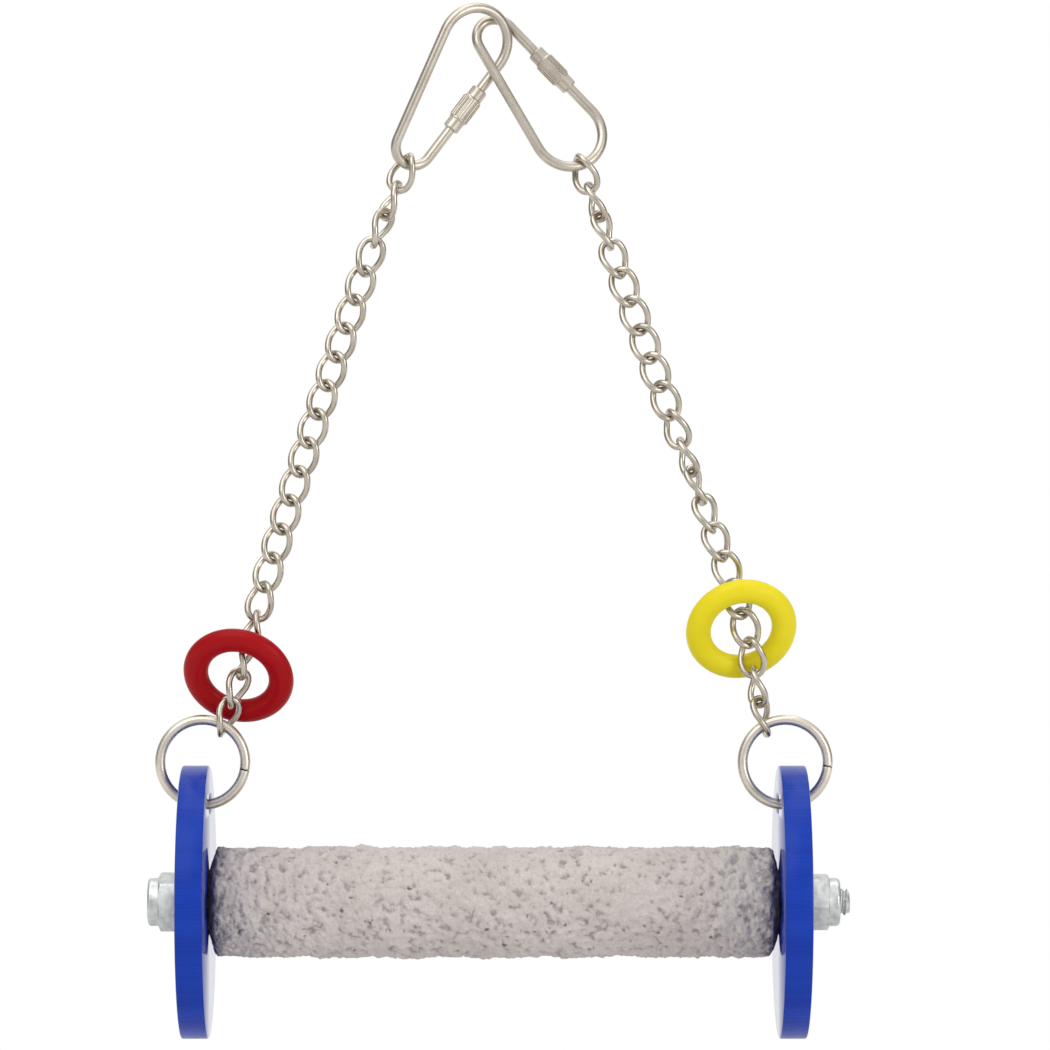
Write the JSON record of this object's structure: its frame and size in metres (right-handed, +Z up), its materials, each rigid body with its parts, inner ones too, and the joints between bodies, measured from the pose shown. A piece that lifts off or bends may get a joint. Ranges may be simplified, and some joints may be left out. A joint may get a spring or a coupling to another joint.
{
  "type": "bird swing",
  "caption": "Cage-bird swing: a rough cement grooming perch between round end discs, hung on twisted-link chains from chained quick links, with loose plastic rings.",
  "frame": {"origin": "the hang eye: the highest point inside the wide bend of the left quick link, where a cage hook carries the swing", "axes": "+Z up along the pull of gravity, +X along the perch to the right of the picture, +Y away from the picture's viewer"},
  "size_m": [0.1634, 0.0635, 0.2411],
  "materials": {
    "cement": "rough pitted cement",
    "blue_acrylic": "polished faces, sawn rim",
    "red_plastic": "moulded gloss",
    "yellow_plastic": "moulded gloss",
    "chain_nickel": "bright nickel plate",
    "ring_nickel": "bright nickel plate",
    "quick_link_zinc": "bright zinc plate",
    "sleeve_zinc": "knurled, bright zinc plate",
    "nut_zinc": "bright zinc plate",
    "rod_zinc": "zinc-plated thread",
    "nylon": "natural nylon"
  },
  "bodies": {
    "left_quick_link": {"left_quick_link": "quick_link_zinc"},
    "left_sleeve_nut": {"left_sleeve_nut": "sleeve_zinc"},
    "right_quick_link": {"right_quick_link": "quick_link_zinc"},
    "right_sleeve_nut": {"right_sleeve_nut": "sleeve_zinc"},
    "left_link_01": {"left_link_01": "chain_nickel"},
    "right_link_01": {"right_link_01": "chain_nickel"},
    "left_link_02": {"left_link_02": "chain_nickel"},
    "right_link_02": {"right_link_02": "chain_nickel"},
    "left_link_03": {"left_link_03": "chain_nickel"},
    "right_link_03": {"right_link_03": "chain_nickel"},
    "left_link_04": {"left_link_04": "chain_nickel"},
    "right_link_04": {"right_link_04": "chain_nickel"},
    "left_link_05": {"left_link_05": "chain_nickel"},
    "right_link_05": {"right_link_05": "chain_nickel"},
    "left_link_06": {"left_link_06": "chain_nickel"},
    "right_link_06": {"right_link_06": "chain_nickel"},
    "left_link_07": {"left_link_07": "chain_nickel"},
    "right_link_07": {"right_link_07": "chain_nickel"},
    "left_link_08": {"left_link_08": "chain_nickel"},
    "right_link_08": {"right_link_08": "chain_nickel"},
    "left_link_09": {"left_link_09": "chain_nickel"},
    "right_link_09": {"right_link_09": "chain_nickel"},
    "left_link_10": {"left_link_10": "chain_nickel"},
    "right_link_10": {"right_link_10": "chain_nickel"},
    "left_link_11": {"left_link_11": "chain_nickel"},
    "right_link_11": {"right_link_11": "chain_nickel"},
    "left_link_12": {"left_link_12": "chain_nickel"},
    "right_link_12": {"right_link_12": "chain_nickel"},
    "left_link_13": {"left_link_13": "chain_nickel"},
    "right_link_13": {"right_link_13": "chain_nickel"},
    "left_link_14": {"left_link_14": "chain_nickel"},
    "right_link_14": {"right_link_14": "chain_nickel"},
    "left_link_15": {"left_link_15": "chain_nickel"},
    "right_link_15": {"right_link_15": "chain_nickel"},
    "left_link_16": {"left_link_16": "chain_nickel"},
    "right_link_16": {"right_link_16": "chain_nickel"},
    "left_link_17": {"left_link_17": "chain_nickel"},
    "right_link_17": {"right_link_17": "chain_nickel"},
    "left_link_18": {"left_link_18": "chain_nickel"},
    "right_link_18": {"right_link_18": "chain_nickel"},
    "left_link_19": {"left_link_19": "chain_nickel"},
    "right_link_19": {"right_link_19": "chain_nickel"},
    "left_link_20": {"left_link_20": "chain_nickel"},
    "right_link_20": {"right_link_20": "chain_nickel"},
    "left_steel_ring": {"left_steel_ring": "ring_nickel"},
    "right_steel_ring": {"right_steel_ring": "ring_nickel"},
    "perch_assembly": {"perch": "cement", "threaded_rod": "rod_zinc", "left_end_disc": "blue_acrylic", "right_end_disc": "blue_acrylic", "left_lock_nut": "nut_zinc", "right_lock_nut": "nut_zinc", "left_nylon_insert": "nylon", "right_nylon_insert": "nylon"},
    "red_ring": {"red_ring": "red_plastic"},
    "yellow_ring": {"yellow_ring": "yellow_plastic"}
  },
  "joints": [
    {"name": "left_sleeve_slide", "type": "slide", "parent": "left_quick_link", "child": "left_sleeve_nut", "axis": [-0.6018, -0.0608, -0.7963], "range_m": [0, 0.0078]},
    {"name": "right_quick_link_roll", "type": "hinge", "parent": "left_quick_link", "child": "right_quick_link", "pos_m": [0.0236, 0.00192, -0.03403], "axis": [-0.6016, 0.0593, 0.7966], "range_deg": [0, 14]},
    {"name": "right_sleeve_slide", "type": "slide", "parent": "right_quick_link", "child": "right_sleeve_nut", "axis": [-0.6952, 0.0146, 0.7186], "range_m": [0, 0.005]},
    {"name": "left_link_01_swing", "type": "hinge", "parent": "left_quick_link", "child": "left_link_01", "pos_m": [-0.01617, 0.00173, -0.03387], "axis": [1, 0, 0], "range_deg": [-10, 10]},
    {"name": "right_link_01_swing", "type": "hinge", "parent": "left_quick_link", "child": "right_link_01", "pos_m": [0.0236, 0.00173, -0.03403], "axis": [1, 0, 0], "range_deg": [-10, 10]},
    {"name": "left_link_02_swing", "type": "hinge", "parent": "left_link_01", "child": "left_link_02", "pos_m": [-0.01884, 0.00173, -0.04036], "axis": [-1, 0, 0], "range_deg": [-12, 12]},
    {"name": "right_link_02_swing", "type": "hinge", "parent": "right_link_01", "child": "right_link_02", "pos_m": [0.02596, 0.00173, -0.04065], "axis": [-1, 0, 0], "range_deg": [-12, 12]},
    {"name": "left_link_03_swing", "type": "hinge", "parent": "left_link_02", "child": "left_link_03", "pos_m": [-0.02148, 0.00173, -0.04687], "axis": [1, 0, 0], "range_deg": [-12, 12]},
    {"name": "right_link_03_swing", "type": "hinge", "parent": "right_link_02", "child": "right_link_03", "pos_m": [0.02832, 0.00173, -0.04726], "axis": [1, 0, 0], "range_deg": [-12, 12]},
    {"name": "left_link_04_swing", "type": "hinge", "parent": "left_link_03", "child": "left_link_04", "pos_m": [-0.0241, 0.00173, -0.05338], "axis": [-1, 0, 0], "range_deg": [-12, 12]},
    {"name": "right_link_04_swing", "type": "hinge", "parent": "right_link_03", "child": "right_link_04", "pos_m": [0.03068, 0.00173, -0.05387], "axis": [-1, 0, 0], "range_deg": [-12, 12]},
    {"name": "left_link_05_swing", "type": "hinge", "parent": "left_link_04", "child": "left_link_05", "pos_m": [-0.02637, 0.00173, -0.06003], "axis": [1, 0, 0], "range_deg": [-12, 12]},
    {"name": "right_link_05_swing", "type": "hinge", "parent": "right_link_04", "child": "right_link_05", "pos_m": [0.03305, 0.00173, -0.06048], "axis": [1, 0, 0], "range_deg": [-12, 12]},
    {"name": "left_link_06_swing", "type": "hinge", "parent": "left_link_05", "child": "left_link_06", "pos_m": [-0.02862, 0.00173, -0.06667], "axis": [-1, 0, 0], "range_deg": [-12, 12]},
    {"name": "right_link_06_swing", "type": "hinge", "parent": "right_link_05", "child": "right_link_06", "pos_m": [0.03542, 0.00173, -0.06708], "axis": [-1, 0, 0], "range_deg": [-12, 12]},
    {"name": "left_link_07_swing", "type": "hinge", "parent": "left_link_06", "child": "left_link_07", "pos_m": [-0.03085, 0.00173, -0.07333], "axis": [1, 0, 0], "range_deg": [-12, 12]},
    {"name": "right_link_07_swing", "type": "hinge", "parent": "right_link_06", "child": "right_link_07", "pos_m": [0.0378, 0.00173, -0.07369], "axis": [1, 0, 0], "range_deg": [-12, 12]},
    {"name": "left_link_08_swing", "type": "hinge", "parent": "left_link_07", "child": "left_link_08", "pos_m": [-0.03305, 0.00173, -0.08], "axis": [-1, 0, 0], "range_deg": [-12, 12]},
    {"name": "right_link_08_swing", "type": "hinge", "parent": "right_link_07", "child": "right_link_08", "pos_m": [0.04018, 0.00173, -0.08029], "axis": [-1, 0, 0], "range_deg": [-12, 12]},
    {"name": "left_link_09_swing", "type": "hinge", "parent": "left_link_08", "child": "left_link_09", "pos_m": [-0.03524, 0.00173, -0.08667], "axis": [1, 0, 0], "range_deg": [-12, 12]},
    {"name": "right_link_09_swing", "type": "hinge", "parent": "right_link_08", "child": "right_link_09", "pos_m": [0.04256, 0.00173, -0.0869], "axis": [1, 0, 0], "range_deg": [-12, 12]},
    {"name": "left_link_10_swing", "type": "hinge", "parent": "left_link_09", "child": "left_link_10", "pos_m": [-0.0374, 0.00173, -0.09335], "axis": [-1, 0, 0], "range_deg": [-12, 12]},
    {"name": "right_link_10_swing", "type": "hinge", "parent": "right_link_09", "child": "right_link_10", "pos_m": [0.04495, 0.00173, -0.0935], "axis": [-1, 0, 0], "range_deg": [-12, 12]},
    {"name": "left_link_11_swing", "type": "hinge", "parent": "left_link_10", "child": "left_link_11", "pos_m": [-0.03954, 0.00173, -0.10003], "axis": [1, 0, 0], "range_deg": [-12, 12]},
    {"name": "right_link_11_swing", "type": "hinge", "parent": "right_link_10", "child": "right_link_11", "pos_m": [0.04734, 0.00173, -0.1001], "axis": [1, 0, 0], "range_deg": [-12, 12]},
    {"name": "left_link_12_swing", "type": "hinge", "parent": "left_link_11", "child": "left_link_12", "pos_m": [-0.04166, 0.00173, -0.10673], "axis": [-1, 0, 0], "range_deg": [-12, 12]},
    {"name": "right_link_12_swing", "type": "hinge", "parent": "right_link_11", "child": "right_link_12", "pos_m": [0.04974, 0.00173, -0.1067], "axis": [-1, 0, 0], "range_deg": [-12, 12]},
    {"name": "left_link_13_swing", "type": "hinge", "parent": "left_link_12", "child": "left_link_13", "pos_m": [-0.04375, 0.00173, -0.11343], "axis": [1, 0, 0], "range_deg": [-12, 12]},
    {"name": "right_link_13_swing", "type": "hinge", "parent": "right_link_12", "child": "right_link_13", "pos_m": [0.05214, 0.00173, -0.11329], "axis": [1, 0, 0], "range_deg": [-12, 12]},
    {"name": "left_link_14_swing", "type": "hinge", "parent": "left_link_13", "child": "left_link_14", "pos_m": [-0.04581, 0.00173, -0.12014], "axis": [-1, 0, 0], "range_deg": [-12, 12]},
    {"name": "right_link_14_swing", "type": "hinge", "parent": "right_link_13", "child": "right_link_14", "pos_m": [0.05454, 0.00173, -0.11989], "axis": [-1, 0, 0], "range_deg": [-12, 12]},
    {"name": "left_link_15_swing", "type": "hinge", "parent": "left_link_14", "child": "left_link_15", "pos_m": [-0.04783, 0.00173, -0.12686], "axis": [1, 0, 0], "range_deg": [-3, 3]},
    {"name": "right_link_15_swing", "type": "hinge", "parent": "right_link_14", "child": "right_link_15", "pos_m": [0.05695, 0.00173, -0.12648], "axis": [1, 0, 0], "range_deg": [-3, 3]},
    {"name": "left_link_16_swing", "type": "hinge", "parent": "left_link_15", "child": "left_link_16", "pos_m": [-0.04981, 0.00173, -0.1336], "axis": [-1, 0, 0], "range_deg": [-3, 3]},
    {"name": "right_link_16_swing", "type": "hinge", "parent": "right_link_15", "child": "right_link_16", "pos_m": [0.05937, 0.00173, -0.13307], "axis": [-1, 0, 0], "range_deg": [-3, 3]},
    {"name": "left_link_17_swing", "type": "hinge", "parent": "left_link_16", "child": "left_link_17", "pos_m": [-0.05161, 0.00173, -0.14038], "axis": [1, 0, 0], "range_deg": [-3, 3]},
    {"name": "right_link_17_swing", "type": "hinge", "parent": "right_link_16", "child": "right_link_17", "pos_m": [0.06143, 0.00173, -0.13978], "axis": [1, 0, 0], "range_deg": [-3, 3]},
    {"name": "left_link_18_swing", "type": "hinge", "parent": "left_link_17", "child": "left_link_18", "pos_m": [-0.05341, 0.00173, -0.14716], "axis": [-1, 0, 0], "range_deg": [-3, 3]},
    {"name": "right_link_18_swing", "type": "hinge", "parent": "right_link_17", "child": "right_link_18", "pos_m": [0.06326, 0.00173, -0.14656], "axis": [-1, 0, 0], "range_deg": [-3, 3]},
    {"name": "left_link_19_swing", "type": "hinge", "parent": "left_link_18", "child": "left_link_19", "pos_m": [-0.05522, 0.00173, -0.15395], "axis": [1, 0, 0], "range_deg": [-3, 3]},
    {"name": "right_link_19_swing", "type": "hinge", "parent": "right_link_18", "child": "right_link_19", "pos_m": [0.06437, 0.00173, -0.15349], "axis": [1, 0, 0], "range_deg": [-3, 3]},
    {"name": "left_link_20_swing", "type": "hinge", "parent": "left_link_19", "child": "left_link_20", "pos_m": [-0.05737, 0.00173, -0.16063], "axis": [-1, 0, 0], "range_deg": [-3, 3]},
    {"name": "right_link_20_swing", "type": "hinge", "parent": "right_link_19", "child": "right_link_20", "pos_m": [0.06548, 0.00173, -0.16042], "axis": [-1, 0, 0], "range_deg": [-3, 3]},
    {"name": "left_steel_ring_swing", "type": "hinge", "parent": "left_link_20", "child": "left_steel_ring", "pos_m": [-0.05976, 0.00173, -0.16723], "axis": [1, 0, 0], "range_deg": [-12, 12]},
    {"name": "right_steel_ring_swing", "type": "hinge", "parent": "right_link_20", "child": "right_steel_ring", "pos_m": [0.06719, 0.00173, -0.16723], "axis": [1, 0, 0], "range_deg": [-12, 12]},
    {"name": "perch_rock", "type": "hinge", "parent": "left_steel_ring", "child": "perch_assembly", "pos_m": [-0.06576, 0.00173, -0.18418], "axis": [1, 0, 0], "range_deg": [-60, 60]},
    {"name": "red_ring_spin", "type": "hinge", "parent": "left_link_18", "child": "red_ring", "pos_m": [-0.05583, 0.00173, -0.15429], "axis": [-0.1491, -0.8141, -0.5612], "continuous": true},
    {"name": "yellow_ring_spin", "type": "hinge", "parent": "right_link_17", "child": "yellow_ring", "pos_m": [0.06138, 0.00173, -0.14343], "axis": [0.1303, -0.866, -0.4827], "continuous": true}
  ],
  "couplings": [
    {"joint": "right_link_01_swing", "follows": "left_link_01_swing", "ratio": 1},
    {"joint": "right_link_02_swing", "follows": "left_link_02_swing", "ratio": 1},
    {"joint": "right_link_03_swing", "follows": "left_link_03_swing", "ratio": 1},
    {"joint": "right_link_04_swing", "follows": "left_link_04_swing", "ratio": 1},
    {"joint": "right_link_05_swing", "follows": "left_link_05_swing", "ratio": 1},
    {"joint": "right_link_06_swing", "follows": "left_link_06_swing", "ratio": 1},
    {"joint": "right_link_07_swing", "follows": "left_link_07_swing", "ratio": 1},
    {"joint": "right_link_08_swing", "follows": "left_link_08_swing", "ratio": 1},
    {"joint": "right_link_09_swing", "follows": "left_link_09_swing", "ratio": 1},
    {"joint": "right_link_10_swing", "follows": "left_link_10_swing", "ratio": 1},
    {"joint": "right_link_11_swing", "follows": "left_link_11_swing", "ratio": 1},
    {"joint": "right_link_12_swing", "follows": "left_link_12_swing", "ratio": 1},
    {"joint": "right_link_13_swing", "follows": "left_link_13_swing", "ratio": 1},
    {"joint": "right_link_14_swing", "follows": "left_link_14_swing", "ratio": 1},
    {"joint": "right_link_15_swing", "follows": "left_link_15_swing", "ratio": 1},
    {"joint": "right_link_16_swing", "follows": "left_link_16_swing", "ratio": 1},
    {"joint": "right_link_17_swing", "follows": "left_link_17_swing", "ratio": 1},
    {"joint": "right_link_18_swing", "follows": "left_link_18_swing", "ratio": 1},
    {"joint": "right_link_19_swing", "follows": "left_link_19_swing", "ratio": 1},
    {"joint": "right_link_20_swing", "follows": "left_link_20_swing", "ratio": 1},
    {"joint": "right_steel_ring_swing", "follows": "left_steel_ring_swing", "ratio": 1}
  ]
}
